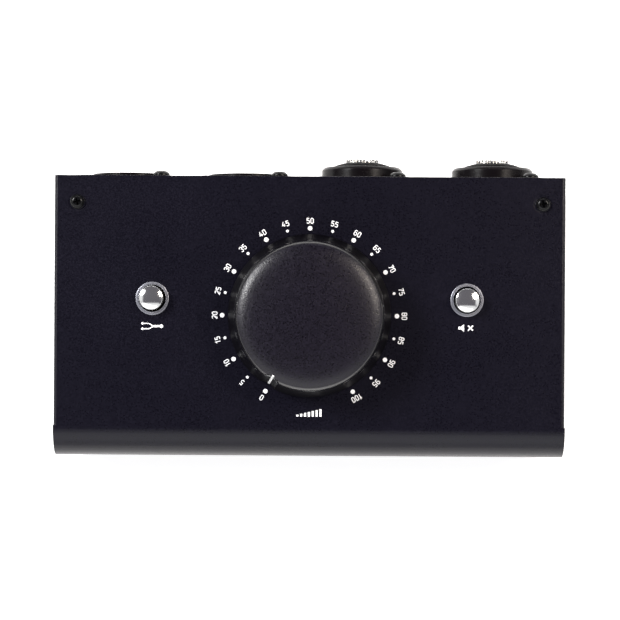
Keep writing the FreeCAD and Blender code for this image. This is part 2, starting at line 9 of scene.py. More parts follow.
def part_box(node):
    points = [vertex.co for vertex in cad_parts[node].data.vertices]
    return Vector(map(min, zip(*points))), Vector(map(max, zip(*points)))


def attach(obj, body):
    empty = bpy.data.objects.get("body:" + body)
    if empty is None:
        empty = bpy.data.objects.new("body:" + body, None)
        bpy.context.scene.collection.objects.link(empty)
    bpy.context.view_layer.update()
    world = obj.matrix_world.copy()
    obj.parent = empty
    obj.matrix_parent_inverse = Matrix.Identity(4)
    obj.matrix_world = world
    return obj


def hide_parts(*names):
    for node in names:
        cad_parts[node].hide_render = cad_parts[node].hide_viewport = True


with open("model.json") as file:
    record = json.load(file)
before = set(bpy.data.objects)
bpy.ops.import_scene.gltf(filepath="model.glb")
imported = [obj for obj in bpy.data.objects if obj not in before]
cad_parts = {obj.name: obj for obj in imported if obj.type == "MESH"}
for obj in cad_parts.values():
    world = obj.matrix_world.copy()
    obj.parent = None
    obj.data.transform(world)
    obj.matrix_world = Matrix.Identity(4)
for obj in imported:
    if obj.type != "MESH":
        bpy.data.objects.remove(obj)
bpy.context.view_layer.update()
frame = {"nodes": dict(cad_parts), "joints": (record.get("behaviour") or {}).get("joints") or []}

# The cover: one sheet of 1.2 mm steel, folded down at both sides and rolled over a wide bend at the front, with a
# short lip turned under. It is powder coated fine matt black. Two screws hold it at the rear and two under the lip.
mm = 0.001
sheet = 1.2 * mm
bend_y = -30.15 * mm
bend_r = 8.45 * mm
seam = 0.3 * mm
side_bend = 1.0 * mm
coat_black = (0.0022, 0.0018, 0.0060)

level_joint = next(j for j in frame["joints"] if j["name"] == "level_turn")
panel_normal = -Vector(level_joint["axis"])
tilt = math.atan2(-panel_normal.y, panel_normal.z)
lean = Matrix.Translation(Vector(level_joint["pos_m"])) @ Matrix.Rotation(tilt, 4, "X")
upright = lean.inverted()


def panel_box(node):
    """Lowest and highest corner of a solid, measured square to the sloping panel."""
    points = [upright @ v.co for v in frame["nodes"][node].data.vertices]
    low = Vector([min(p[k] for p in points) for k in range(3)])
    high = Vector([max(p[k] for p in points) for k in range(3)])
    return low, high


def solid_copy(node):
    """A solid's mesh square to the panel, its loose triangles joined into clean faces."""
    bm = bmesh.new()
    bm.from_mesh(frame["nodes"][node].data)
    bm.transform(upright)
    bmesh.ops.remove_doubles(bm, verts=bm.verts, dist=2e-6)
    bmesh.ops.dissolve_limit(bm, angle_limit=math.radians(0.4), verts=bm.verts, edges=bm.edges)
    return bm


def true_bend(bm, centre, along, begin, turn, radii, steps):
    """Slices the facets of a bend into fine steps and sets them on the true radii."""
    across = along.cross(begin)

    def polar(p):
        d = p - centre
        return math.hypot(d.dot(begin), d.dot(across)), math.atan2(d.dot(across), d.dot(begin))

    def on_bend(p):
        r, a = polar(p)
        return -0.002 < a < turn + 0.002 and any(abs(r - x) < 0.06 * mm for x in radii)

    for k in range(1, steps):
        a = turn * k / steps
        plane = along.cross(begin * math.cos(a) + across * math.sin(a))
        faces = [f for f in bm.faces if all(on_bend(v.co) for v in f.verts)]
        edges = {e for f in faces for e in f.edges}
        verts = {v for f in faces for v in f.verts}
        bmesh.ops.bisect_plane(bm, geom=faces + list(edges) + list(verts), dist=1e-7, plane_co=centre, plane_no=plane)
    for v in bm.verts:
        if on_bend(v.co):
            r, a = polar(v.co)
            true_r = min(radii, key=lambda x: abs(x - r))
            flat = (begin * math.cos(a) + across * math.sin(a)) * true_r
            v.co = centre + along * (v.co - centre).dot(along) + flat


def settle(piece):
    """Turns a piece's modifiers into a plain mesh."""
    seen = piece.evaluated_get(bpy.context.evaluated_depsgraph_get())
    mesh = bpy.data.meshes.new_from_object(seen)
    piece.modifiers.clear()
    piece.data = mesh


def make_piece(name, bm, materials, place=lean, edge=0.0, steps=2, crease=35):
    """A piece from a shape built square to the panel, with its sharp edges rounded by edge."""
    mesh = bpy.data.meshes.new(name)
    bm.to_mesh(mesh)
    bm.free()
    mesh.transform(place)
    for material in materials:
        mesh.materials.append(material)
    mesh.shade_smooth()
    mesh.set_sharp_from_angle(angle=math.radians(crease))
    piece = bpy.data.objects.new(name, mesh)
    bpy.context.scene.collection.objects.link(piece)
    if edge:
        bevel = piece.modifiers.new("rounded edges", "BEVEL")
        bevel.width = edge
        bevel.segments = steps
        bevel.limit_method = "ANGLE"
        bevel.angle_limit = math.radians(crease)
        even = piece.modifiers.new("even shading", "WEIGHTED_NORMAL")
        even.keep_sharp = True
        settle(piece)
    return piece


def fit(piece, body, slot, *nodes):
    """Sets a finished piece on its body, in the place of the nodes it stands for."""
    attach(piece, body)
    if nodes:
        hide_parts(*nodes)


def add(tree, kind, values=None, **settings):
    """A node with its settings, and its inputs given as numbers or as sockets to link."""
    node = tree.nodes.new(kind)
    for key, value in settings.items():
        setattr(node, key, value)
    for key, value in (values or {}).items():
        if isinstance(value, bpy.types.NodeSocket):
            tree.links.new(value, node.inputs[key])
        else:
            node.inputs[key].default_value = value
    return node


def calc(tree, operation, *values):
    """A math node on numbers or on sockets to link."""
    return add(tree, "ShaderNodeMath", dict(enumerate(values)), operation=operation)


def open_group(name, inputs, outputs, kind="ShaderNodeTree"):
    """An empty node group with named sockets, and its input and output nodes."""
    group = bpy.data.node_groups.new(name, kind)
    for label, socket_kind, *value in inputs:
        socket = group.interface.new_socket(label, in_out="INPUT", socket_type=socket_kind)
        if value:
            socket.default_value = value[0]
    for label, socket_kind in outputs:
        group.interface.new_socket(label, in_out="OUTPUT", socket_type=socket_kind)
    return group, group.nodes.new("NodeGroupInput").outputs, group.nodes.new("NodeGroupOutput").inputs


fine_grain, at, out = open_group(
    "fine_grain",
    [("Vector", "NodeSocketVector"), ("Grains per metre", "NodeSocketFloat", 3000.0),
     ("Patches per metre", "NodeSocketFloat", 60.0)],
    [("Height", "NodeSocketFloat"), ("Speck", "NodeSocketFloat"), ("Patch", "NodeSocketFloat")])
peel = add(fine_grain, "ShaderNodeTexNoise", {
    "Vector": at["Vector"], "Scale": at["Grains per metre"], "Detail": 2.0, "Roughness": 0.55})
cells = add(fine_grain, "ShaderNodeTexVoronoi", {"Vector": at["Vector"], "Scale": at["Grains per metre"]})
cell_part = calc(fine_grain, "MULTIPLY", cells.outputs["Distance"], 0.45)
height = calc(fine_grain, "ADD", peel.outputs["Fac"], cell_part.outputs[0])
speck = add(fine_grain, "ShaderNodeMapRange", {
    "Value": peel.outputs["Fac"], "From Min": 0.35, "From Max": 0.68, "To Min": 0.0, "To Max": 1.0})
broad = add(fine_grain, "ShaderNodeTexNoise", {
    "Vector": at["Vector"], "Scale": at["Patches per metre"], "Detail": 3.0, "Roughness": 0.6})
patch = add(fine_grain, "ShaderNodeMapRange", {
    "Value": broad.outputs["Fac"], "From Min": 0.3, "From Max": 0.7, "To Min": 0.0, "To Max": 1.0})
fine_grain.links.new(height.outputs[0], out["Height"])
fine_grain.links.new(speck.outputs[0], out["Speck"])
fine_grain.links.new(patch.outputs[0], out["Patch"])


def finish(name, colour, rough, grains, depth, spread=0.12, rough_spread=0.04, metal=0.0, speckle=0.3, patches=60.0,
           shine=0.5):
    """A material whose tone, roughness and relief vary with its own grain. Depth is the relief in metres."""
    material = bpy.data.materials.new(name)
    material.use_nodes = True
    tree = material.node_tree
    shader = tree.nodes["Principled BSDF"]
    shader.inputs["Metallic"].default_value = metal
    shader.inputs["Specular IOR Level"].default_value = shine
    here = add(tree, "ShaderNodeTexCoord")
    grain = add(tree, "ShaderNodeGroup", node_tree=fine_grain)
    tree.links.new(here.outputs["Object"], grain.inputs["Vector"])
    grain.inputs["Grains per metre"].default_value = grains
    grain.inputs["Patches per metre"].default_value = patches
    mask = add(tree, "ShaderNodeMix", {
        0: speckle, 2: grain.outputs["Patch"], 3: grain.outputs["Speck"]}, data_type="FLOAT")
    dark = [c * (1 - spread) for c in colour] + [1.0]
    light = [c * (1 + spread) for c in colour] + [1.0]
    tone = add(tree, "ShaderNodeMix", {0: mask.outputs[0], 6: dark, 7: light}, data_type="RGBA")
    tree.links.new(tone.outputs[2], shader.inputs["Base Color"])
    gloss = add(tree, "ShaderNodeMapRange", {
        "Value": mask.outputs[0], "To Min": rough - rough_spread, "To Max": rough + rough_spread})
    tree.links.new(gloss.outputs[0], shader.inputs["Roughness"])
    relief = add(tree, "ShaderNodeBump", {"Height": grain.outputs["Height"], "Distance": depth, "Strength": 1.0})
    tree.links.new(relief.outputs[0], shader.inputs["Normal"])
    return material


powder_coat = finish(
    "powder_coat", coat_black, 0.32, 2300.0, 0.019 * mm, spread=0.4, rough_spread=0.06, speckle=0.8, shine=0.27)


def rounded(corners, steps=5):
    """An outline of (r, z) or (r, z, radius) corners, with those radii worked in."""
    outline = []
    for k, corner in enumerate(corners):
        here = Vector(corner[:2])
        if len(corner) == 2:
            outline.append(here)
            continue
        before = Vector(corners[k - 1][:2]) - here
        after = Vector(corners[(k + 1) % len(corners)][:2]) - here
        half = before.angle(after) / 2
        reach = min(corner[2] / math.tan(half), 0.49 * before.length, 0.49 * after.length)
        radius = reach * math.tan(half)
        middle = here + (before.normalized() + after.normalized()).normalized() * radius / math.sin(half)
        start = here + before.normalized() * reach - middle
        sweep = start.angle_signed(here + after.normalized() * reach - middle)
        for i in range(steps + 1):
            a = math.atan2(start.y, start.x) - sweep * i / steps
            outline.append(middle + Vector((math.cos(a), math.sin(a))) * radius)
    return outline


def turned_ring(bm, r, z, turns):
    """A ring of corners about Z, or the same corner all round where it lies on the axis."""
    if r < 1e-7:
        return [bm.verts.new((0, 0, z))] * len(turns)
    return [bm.verts.new((r * math.cos(a), r * math.sin(a), z)) for a in turns]


def skin(bm, ring, other, part=0):
    """Faces between two rings of corners, with triangles where one of them is a point."""
    for k in range(len(ring)):
        n = (k + 1) % len(ring)
        quad = [ring[k], ring[n], other[n], other[k]]
        corners = [v for m, v in enumerate(quad) if v not in quad[:m]]
        if len(corners) > 2:
            bm.faces.new(corners).material_index = part


def lathe(outline, count=96):
    """A closed shape turned about Z from an outline of (r, z). Points on the axis close it."""
    bm = bmesh.new()
    turns = [2 * math.pi * k / count for k in range(count)]
    rings = [turned_ring(bm, r, z, turns) for r, z in outline]
    for i, ring in enumerate(rings):
        skin(bm, ring, rings[(i + 1) % len(rings)])
    bmesh.ops.recalc_face_normals(bm, faces=bm.faces)
    return bm


def loose_object(name, bm):
    """An object that holds a shape for a modifier or a tree, and is removed after that."""
    holder = bpy.data.objects.new(name, bpy.data.meshes.new(name))
    bm.to_mesh(holder.data)
    bpy.context.scene.collection.objects.link(holder)
    return holder


def carve(bm, cutters):
    """Cuts closed shapes out of another."""
    stock = loose_object("stock", bm)
    tools = []
    for cutter in cutters:
        tool = loose_object("tool", cutter)
        cutter.free()
        cut = stock.modifiers.new("cut", "BOOLEAN")
        cut.object = tool
        cut.solver = "EXACT"
        tools.append(tool)
    settle(stock)
    bm.clear()
    bm.from_mesh(stock.data)
    for spare in tools + [stock]:
        bpy.data.objects.remove(spare)
    return bm


cover_high = panel_box("top_cover")[1]
screw_low, screw_high = panel_box("cover_screws")
cover_screw_r = 1.96 * mm
cover_screw_x = screw_high.x - cover_screw_r
cover_screw_y = (screw_low.y + screw_high.y) / 2
wall_x = cover_high.x - 0.08 * mm
cover = solid_copy("top_cover")
along_x = Vector((1, 0, 0))
true_bend(cover, Vector((0, bend_y, -bend_r)), along_x, Vector((0, 0, 1)), math.pi / 2,
          (bend_r, bend_r - sheet, bend_r - sheet - seam), 30)
for side in (-1, 1):
    true_bend(cover, Vector((side * (wall_x - side_bend), 0, -side_bend)), Vector((0, side, 0)),
              Vector((0, 0, 1)), math.pi / 2, (side_bend,), 8)
dimple_outline = ((1.7, 0.3), (2.1, -0.16), (2.35, -0.16), (2.72, 0.02), (2.72, 0.3))
dimples = []
for side in (-1, 1):
    groove = lathe([(r * mm, z * mm) for r, z in dimple_outline], 64)
    bmesh.ops.translate(groove, verts=groove.verts, vec=(side * cover_screw_x, cover_screw_y, 0))
    dimples.append(groove)
carve(cover, dimples)
# The bevel faces along the cover's rear edge that look up and back get a lighter grey: a painted highlight, standing in
# for the glint of the rear light on the sheet's cut edge.
rear_edge_highlight = finish("painted_rear_edge_highlight", (0.26, 0.26, 0.28), 0.45, 2300.0, 0.02 * mm, spread=0.3, rough_spread=0.06)
cover_sheet = make_piece("cover_sheet", cover, [powder_coat, rear_edge_highlight], edge=0.34 * mm, steps=3)
# Picks the rear edge's bevel faces that face up and back, and gives them the painted highlight.
turn_back = upright.to_3x3()
for face in cover_sheet.data.polygons:
    facing = turn_back @ face.normal
    if (upright @ face.center).y > cover_high.y - 0.4 * mm and facing.y > 0.15 and facing.z > 0.05:
        face.material_index = 1
fit(cover_sheet, "housing", "black_powder_coat", "top_cover")

# The chassis: a second folded sheet that carries everything. It is the bottom, the rear panel with the socket
# holes, a flange under the cover's rear edge and two low side flanges, in the same powder coat.
chassis = solid_copy("base_chassis")
chassis_sheet = make_piece("chassis_sheet", chassis, [powder_coat], edge=0.16 * mm, steps=2)
fit(chassis_sheet, "housing", "black_powder_coat", "base_chassis")

# The screws: pressed steel with a cross recess, zinc plated and blackened. Two sit in dimples at the cover's rear
# corners, two go up through the lip, and eight hold the socket flanges against the rear panel.
recess_w = 0.46 * mm
screw_black = finish(
    "screw_black", (0.003, 0.003, 0.0035), 0.2, 2600.0, 0.004 * mm, spread=0.3, rough_spread=0.06, shine=0.2)
flange_screw_x = 9.5 * mm
flange_screw_z = 12.0 * mm


def screw_shape(head_r, head_h, shank_r, length):
    """A pan head screw on z = 0 with its cross recess, shank down."""
    head = lathe(rounded([
        (0, -length), (shank_r - 0.3 * mm, -length), (shank_r, 0.4 * mm - length), (shank_r, -0.02 * mm),
        (head_r - 0.1 * mm, -0.02 * mm), (head_r, 0.12 * mm, 0.1 * mm), (head_r, head_h * 0.45, head_h * 0.5),
        (head_r * 0.62, head_h, head_h * 0.7), (0, head_h)]), 40)
    blades = []
    for turn in (0, 90):
        blade = bmesh.new()
        half = head_r * 0.62
        for z, x, w in ((head_h * 0.12, half * 0.35, recess_w * 0.3), (head_h + 0.3 * mm, half, recess_w * 0.62)):
            for sx, sy in ((-1, -1), (1, -1), (1, 1), (-1, 1)):
                blade.verts.new((sx * x, sy * w, z))
        v = list(blade.verts)
        for face in ((3, 2, 1, 0), (4, 5, 6, 7), (0, 1, 5, 4), (1, 2, 6, 5), (2, 3, 7, 6), (3, 0, 4, 7)):
            blade.faces.new([v[i] for i in face])
        bmesh.ops.rotate(blade, verts=blade.verts, matrix=Matrix.Rotation(math.radians(turn), 3, "Z"))
        blades.append(blade)
    return carve(head, blades)


screw_row, at, out = open_group(
    "screw_row",
    [("Places", "NodeSocketGeometry"), ("Screw", "NodeSocketObject"), ("Seed", "NodeSocketInt"),
     ("Finish", "NodeSocketMaterial")],
    [("Screws", "NodeSocketGeometry")], "GeometryNodeTree")
one = add(screw_row, "GeometryNodeObjectInfo", {"Object": at["Screw"], "As Instance": True})
turn = add(screw_row, "FunctionNodeRandomValue", {
    "Min": (0, 0, 0), "Max": (0, 0, math.pi / 2), "Seed": at["Seed"]}, data_type="FLOAT_VECTOR")
driven = add(screw_row, "GeometryNodeInstanceOnPoints", {
    "Points": at["Places"], "Instance": one.outputs["Geometry"], "Rotation": turn.outputs["Value"]})
real = add(screw_row, "GeometryNodeRealizeInstances", {"Geometry": driven.outputs["Instances"]})
coated = add(screw_row, "GeometryNodeSetMaterial", {"Geometry": real.outputs["Geometry"], "Material": at["Finish"]})
screw_row.links.new(coated.outputs["Geometry"], out["Screws"])


def run_tree(tree, name, inputs, places=(), shape=None):
    """A geometry tree's result as a shape, from places or a shape and with its inputs given by their names."""
    start = bmesh.new() if shape is None else shape
    for place in places:
        start.verts.new(place)
    carrier = loose_object(name, start)
    start.free()
    maker = carrier.modifiers.new(name, "NODES")
    maker.node_group = tree
    for socket in tree.interface.items_tree:
        if socket.in_out == "INPUT" and socket.name in inputs:
            maker[socket.identifier] = inputs[socket.name]
    seen = carrier.evaluated_get(bpy.context.evaluated_depsgraph_get())
    made = bpy.data.meshes.new_from_object(seen)
    bm = bmesh.new()
    bm.from_mesh(made)
    bpy.data.objects.remove(carrier)
    return bm


def screw_set(name, shape, places, seed, place):
    """Screws of one shape at several places, each turned as chance left it."""
    pattern = loose_object("pattern_screw", shape)
    shape.free()
    screws = run_tree(screw_row, name, {"Screw": pattern, "Seed": seed, "Finish": screw_black}, places)
    bpy.data.objects.remove(pattern)
    return make_piece(name, screws, [screw_black], place=place, crease=40)


to_rear = lean @ Matrix.Rotation(-math.pi / 2, 4, "X")
cover_heads = screw_set(
    "cover_screw_heads", screw_shape(cover_screw_r, 1.3 * mm, 1.5 * mm, 6.0 * mm),
    [(side * cover_screw_x, cover_screw_y, 0) for side in (-1, 1)], 4, lean)
fit(cover_heads, "housing", "black_steel", "cover_screws")
base_low, base_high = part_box("base_screws")
under_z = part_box("foot_front_left")[1].z
base_screw_r = 2.6 * mm
under_face = Matrix.Translation((0, 0, under_z)) @ Matrix.Rotation(math.pi, 4, "X")
base_heads = screw_set(
    "base_screw_heads", screw_shape(base_screw_r, 1.2 * mm, 1.5 * mm, 5.0 * mm),
    [(side * (base_high.x - base_screw_r), -(base_low.y + base_high.y) / 2, 0) for side in (-1, 1)], 9, under_face)
fit(base_heads, "housing", "black_steel", "base_screws")
sockets = {}
for node in ("output_left", "output_right", "input_left", "input_right"):
    low, high = panel_box(node + "_shell")
    sockets[node] = Vector(((low.x + high.x) / 2, 0, (low.z + high.z) / 2))
flange_t = 1.6 * mm
flange_y = panel_box("base_chassis")[1].y + flange_t
flange_places = []
for centre in sockets.values():
    for side in (-1, 1):
        flange_places.append((centre.x + side * flange_screw_x, -(centre.z + side * flange_screw_z), flange_y))
flange_heads = screw_set(
    "flange_screw_heads", screw_shape(2.3 * mm, 1.35 * mm, 1.45 * mm, 5.0 * mm), flange_places, 21, to_rear)
fit(flange_heads, "housing", "black_steel")

# The feet: four moulded rubber discs stuck under the bottom sheet. Each is slightly tapered, with a rounded lower
# edge and a shallow ring groove moulded into its sole.
foot_r = 6.0 * mm
foot_h = 2.6 * mm
foot_rubber = finish("foot_rubber", (0.018, 0.018, 0.0185), 0.72, 2200.0, 0.02 * mm, spread=0.25, rough_spread=0.08)
foot_set, at, out = open_group(
    "foot_set",
    [("Places", "NodeSocketGeometry"), ("Foot", "NodeSocketObject"), ("Rubber", "NodeSocketMaterial")],
    [("Feet", "NodeSocketGeometry")], "GeometryNodeTree")
one = add(foot_set, "GeometryNodeObjectInfo", {"Object": at["Foot"], "As Instance": True})
stuck = add(foot_set, "GeometryNodeInstanceOnPoints", {"Points": at["Places"], "Instance": one.outputs["Geometry"]})
real = add(foot_set, "GeometryNodeRealizeInstances", {"Geometry": stuck.outputs["Instances"]})
soft = add(foot_set, "GeometryNodeSetMaterial", {"Geometry": real.outputs["Geometry"], "Material": at["Rubber"]})
foot_set.links.new(soft.outputs["Geometry"], out["Feet"])
foot = lathe(rounded([
    (0, foot_h), (foot_r - 0.05 * mm, foot_h), (foot_r, foot_h - 0.15 * mm), (foot_r - 0.3 * mm, 0, 0.6 * mm),
    (foot_r * 0.72, 0, 0.2 * mm), (foot_r * 0.68, 0.5 * mm, 0.2 * mm), (foot_r * 0.4, 0.5 * mm, 0.2 * mm),
    (foot_r * 0.36, 0, 0.2 * mm), (0, 0)]), 72)
pattern_foot = loose_object("pattern_foot", foot)
foot.free()
foot_nodes = ["foot_front_left", "foot_front_right", "foot_rear_left", "foot_rear_right"]
foot_places = []
for node in foot_nodes:
    low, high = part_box(node)
    foot_places.append(((low.x + high.x) / 2, (low.y + high.y) / 2, low.z))
feet = run_tree(foot_set, "feet", {"Foot": pattern_foot, "Rubber": foot_rubber}, foot_places)
bpy.data.objects.remove(pattern_foot)
rubber_feet = make_piece("rubber_feet", feet, [foot_rubber], place=Matrix.Identity(4), crease=50)
fit(rubber_feet, "housing", "black_rubber", *foot_nodes)

# The knob: one moulding in black plastic, hollow, with a hub and four ribs inside. The domed top has a fine soft
# grain and the drafted flank is polished. A scallop cut down the flank carries the white pointer line.
knob_base_r = 22.2 * mm
knob_foot_z = 0.8 * mm
knob_rim_z = 13.9 * mm
knob_dome = 1.98 * mm
dome_arch = 1.25 * mm
dome_edge_r = 19.1 * mm
flank_top = Vector((20.13 * mm, 11.83 * mm))
brow_r = 4.8 * mm
scallop_angle = math.radians(90 - 210.8)
scallop_r = 2.75 * mm
scallop_top_r = 18.6 * mm
scallop_foot_r = 21.5 * mm
lip_round = 0.9 * mm
pointer_w = 0.62 * mm
soft_edge_r = 15.0 * mm

knob_top_black = finish(
    "knob_top_black", (0.0024, 0.0012, 0.0058), 0.34, 2500.0, 0.045 * mm, spread=0.7, rough_spread=0.08, speckle=0.9,
    shine=0.38)
knob_flank_black = finish(
    "knob_flank_black", (0.002, 0.0017, 0.003), 0.46, 1500.0, 0.0008 * mm, spread=0.15, rough_spread=0.02, shine=0.05)
knob_rim_black = finish(
    "knob_rim_black", (0.002, 0.0017, 0.003), 0.22, 1500.0, 0.0015 * mm, spread=0.15, rough_spread=0.03, shine=0.5)
pointer_white = finish("pointer_white", (0.80, 0.80, 0.80), 0.45, 4000.0, 0.003 * mm, spread=0.03)


def dome_height(r):
    share = r / dome_edge_r
    return knob_rim_z + knob_dome - dome_arch * share ** 2 - (knob_dome - dome_arch) * share ** 14


def scallop_edge(angle, z):
    """Distance from the knob's axis to the scallop's wall, or a large one where the scallop is missed."""
    share = (z - knob_foot_z) / (knob_rim_z + 1.0 * mm - knob_foot_z)
    centre = scallop_foot_r + (scallop_top_r - scallop_foot_r) * share + scallop_r
    off = (angle - scallop_angle + math.pi) % (2 * math.pi) - math.pi
    if abs(off) > math.pi / 3 or centre * abs(math.sin(off)) >= scallop_r:
        return 1.0
    return centre * math.cos(off) - math.sqrt(scallop_r ** 2 - (centre * math.sin(off)) ** 2)


def eased_min(a, b, width):
    h = max(0.0, min(1.0, 0.5 + 0.5 * (b - a) / width))
    return b + (a - b) * h - width * h * (1 - h)


def knob_point(r, z, angle, on_dome):
    """Where a point of the plain turned outline lies once the scallop is moulded in."""
    limit = eased_min(dome_edge_r, scallop_edge(angle, knob_rim_z), lip_round)
    if on_dome:
        if r > soft_edge_r:
            r = soft_edge_r + (r - soft_edge_r) * (limit - soft_edge_r) / (dome_edge_r - soft_edge_r)
        z = dome_height(r)
    else:
        rise = max(0.0, (z - flank_top.y) / (knob_rim_z - flank_top.y))
        r = eased_min(r, scallop_edge(angle, z), lip_round)
        z += (dome_height(limit) - knob_rim_z) * rise ** 2
    return Vector((r * math.cos(angle), r * math.sin(angle), z))


foot_round = [p for p in rounded([
    (knob_base_r - 2.2 * mm, knob_foot_z), (knob_base_r, knob_foot_z, 0.25 * mm), tuple(flank_top)], 4)][:-1]
outline = [(p, 1) for p in foot_round]
outline += [(foot_round[-1].lerp(flank_top, k / 12), 1) for k in range(1, 13)]
flank_tilt = math.atan2(flank_top.y - foot_round[-1].y, foot_round[-1].x - flank_top.x)
brow_centre = flank_top - Vector((math.sin(flank_tilt), math.cos(flank_tilt))) * brow_r
for k in range(1, 9):
    z = flank_top.y + (knob_rim_z - flank_top.y) * k / 8
    outline.append((Vector((brow_centre.x + math.sqrt(brow_r ** 2 - (z - brow_centre.y) ** 2), z)), 2))
dome_edge_r = outline[-1][0].x
dome_stops = [dome_edge_r * (1 - (k / 34) ** 1.7) for k in range(1, 35)]
outline += [(Vector((r, dome_height(r))), 0) for r in dome_stops]
angles = [2 * math.pi * k / 180 for k in range(180)]
angles = [a for a in angles if abs((a - scallop_angle + math.pi) % (2 * math.pi) - math.pi) > math.radians(12.5)]
angles += [(scallop_angle + math.radians(k / 3)) % (2 * math.pi) for k in range(-37, 38)]
angles.sort()
knob = bmesh.new()
rings = []
for p, part in outline:
    if p.x < 1e-7:
        rings.append(turned_ring(knob, 0, p.y, angles))
    else:
        rings.append([knob.verts.new(knob_point(p.x, p.y, a, part == 0)) for a in angles])
for i in range(len(rings) - 1):
    skin(knob, rings[i], rings[i + 1], outline[i + 1][1])
hub_r = 5.2 * mm
hub_z = 4.8 * mm
roof_z = 12.1 * mm
shaft_bore_r = 3.02 * mm
bore_end_z = 12.7 * mm
inside = [(17.9 * mm, roof_z), (hub_r, roof_z), (hub_r, hub_z), (shaft_bore_r, hub_z), (shaft_bore_r, bore_end_z),
          (0, bore_end_z)]
bore_rings = [rings[0]] + [turned_ring(knob, r, z, angles) for r, z in inside]
for ring, other in zip(bore_rings, bore_rings[1:]):
    skin(knob, other, ring, 1)
rib_size = Vector((13.6, 1.2, 4.8)) * mm
rib_middle = Vector((11.6, 0, 9.8)) * mm
for k in range(4):
    made = bmesh.ops.create_cube(knob, size=1.0)["verts"]
    bmesh.ops.scale(knob, verts=made, vec=rib_size)
    bmesh.ops.translate(knob, verts=made, vec=rib_middle)
    bmesh.ops.rotate(knob, verts=made, matrix=Matrix.Rotation(math.pi / 2 * k, 3, "Z"))
    for face in {f for v in made for f in v.link_faces}:
        face.material_index = 1
bmesh.ops.recalc_face_normals(knob, faces=knob.faces)
knob_moulding = make_piece("knob_moulding", knob, [knob_top_black, knob_flank_black, knob_rim_black], crease=32)
fit(knob_moulding, "level_dial", "soft_black_plastic", "level_knob")

pointer = bmesh.new()
columns = []
for side in (-1, 1):
    column = []
    for k in range(25):
        z = knob_foot_z + 0.5 * mm + (knob_rim_z + 0.25 * mm - knob_foot_z) * k / 24
        r = scallop_edge(scallop_angle, z) + 0.05 * mm
        spread = math.asin(side * pointer_w / 2 / r)
        a = scallop_angle + spread
        column.append(pointer.verts.new((r * math.cos(a), r * math.sin(a), z)))
    columns.append(column)
for k in range(24):
    pointer.faces.new([columns[0][k], columns[1][k], columns[1][k + 1], columns[0][k + 1]])
bmesh.ops.recalc_face_normals(pointer, faces=pointer.faces)
bmesh.ops.solidify(pointer, geom=pointer.faces[:], thickness=0.3 * mm)
pointer_line = make_piece("pointer_line", pointer, [pointer_white], crease=40)
fit(pointer_line, "level_dial", "soft_black_plastic")

# The printing: white ink screened on the powder coat. A ring of dots counts the level from 0 to 100 in fives, with
# a number outside each dot, and small plain signs stand for level, summing and silence.
dot_ring_r = 23.73 * mm
number_ring_r = 25.75 * mm
stroke = 0.235
ink_t = 0.02 * mm
dial_marks = 21
dial_start = math.radians(-150)
dial_step = math.radians(15)
print_white = finish("print_white", (0.93, 0.93, 0.94), 0.5, 5000.0, 0.002 * mm, spread=0.03)
dot_scale, at, out = open_group(
    "dot_scale",
    [("Dots", "NodeSocketInt"), ("Ring radius", "NodeSocketFloat"), ("Large dot", "NodeSocketFloat"),
     ("Small dot", "NodeSocketFloat"), ("First angle", "NodeSocketFloat"), ("Step", "NodeSocketFloat"),
     ("Ink", "NodeSocketFloat"), ("Finish", "NodeSocketMaterial")],
    [("Printing", "NodeSocketGeometry")], "GeometryNodeTree")
points = add(dot_scale, "GeometryNodePoints", {"Count": at["Dots"]})
index = add(dot_scale, "GeometryNodeInputIndex")
swing = calc(dot_scale, "MULTIPLY_ADD", index.outputs[0], at["Step"], at["First angle"])
sine = calc(dot_scale, "SINE", swing.outputs[0])
cosine = calc(dot_scale, "COSINE", swing.outputs[0])
px = calc(dot_scale, "MULTIPLY", sine.outputs[0], at["Ring radius"])
py = calc(dot_scale, "MULTIPLY", cosine.outputs[0], at["Ring radius"])
place = add(dot_scale, "ShaderNodeCombineXYZ", {"X": px.outputs[0], "Y": py.outputs[0]})
placed = add(dot_scale, "GeometryNodeSetPosition", {"Geometry": points.outputs[0], "Position": place.outputs[0]})
odd = calc(dot_scale, "MODULO", index.outputs[0], 2.0)
size = add(dot_scale, "ShaderNodeMix", {0: odd.outputs[0], 2: at["Large dot"], 3: at["Small dot"]}, data_type="FLOAT")
disc = add(dot_scale, "GeometryNodeMeshCylinder", {"Vertices": 28, "Radius": 0.5, "Depth": at["Ink"]})
scale = add(dot_scale, "ShaderNodeCombineXYZ", {"X": size.outputs[0], "Y": size.outputs[0], "Z": 1.0})
dots = add(dot_scale, "GeometryNodeInstanceOnPoints", {
    "Points": placed.outputs[0], "Instance": disc.outputs["Mesh"], "Scale": scale.outputs[0]})
real = add(dot_scale, "GeometryNodeRealizeInstances", {"Geometry": dots.outputs["Instances"]})
inked = add(dot_scale, "GeometryNodeSetMaterial", {"Geometry": real.outputs["Geometry"], "Material": at["Finish"]})
dot_scale.links.new(inked.outputs["Geometry"], out["Printing"])
ink = run_tree(dot_scale, "dots", {
    "Dots": dial_marks, "Ring radius": dot_ring_r, "Large dot": 1.24 * mm, "Small dot": 0.8 * mm,
    "First angle": dial_start, "Step": dial_step, "Ink": ink_t, "Finish": print_white})
bmesh.ops.translate(ink, verts=ink.verts, vec=(0, 0, ink_t / 2))


def stamp(shape, x, y, turn):
    """Adds a flat shape to the printing, turned clockwise about its own middle."""
    mesh = bpy.data.meshes.new("stamp")
    shape.to_mesh(mesh)
    shape.free()
    mesh.transform(Matrix.Translation((x, y, 0)) @ Matrix.Rotation(-turn, 4, "Z"))
    ink.from_mesh(mesh)
    bpy.data.meshes.remove(mesh)


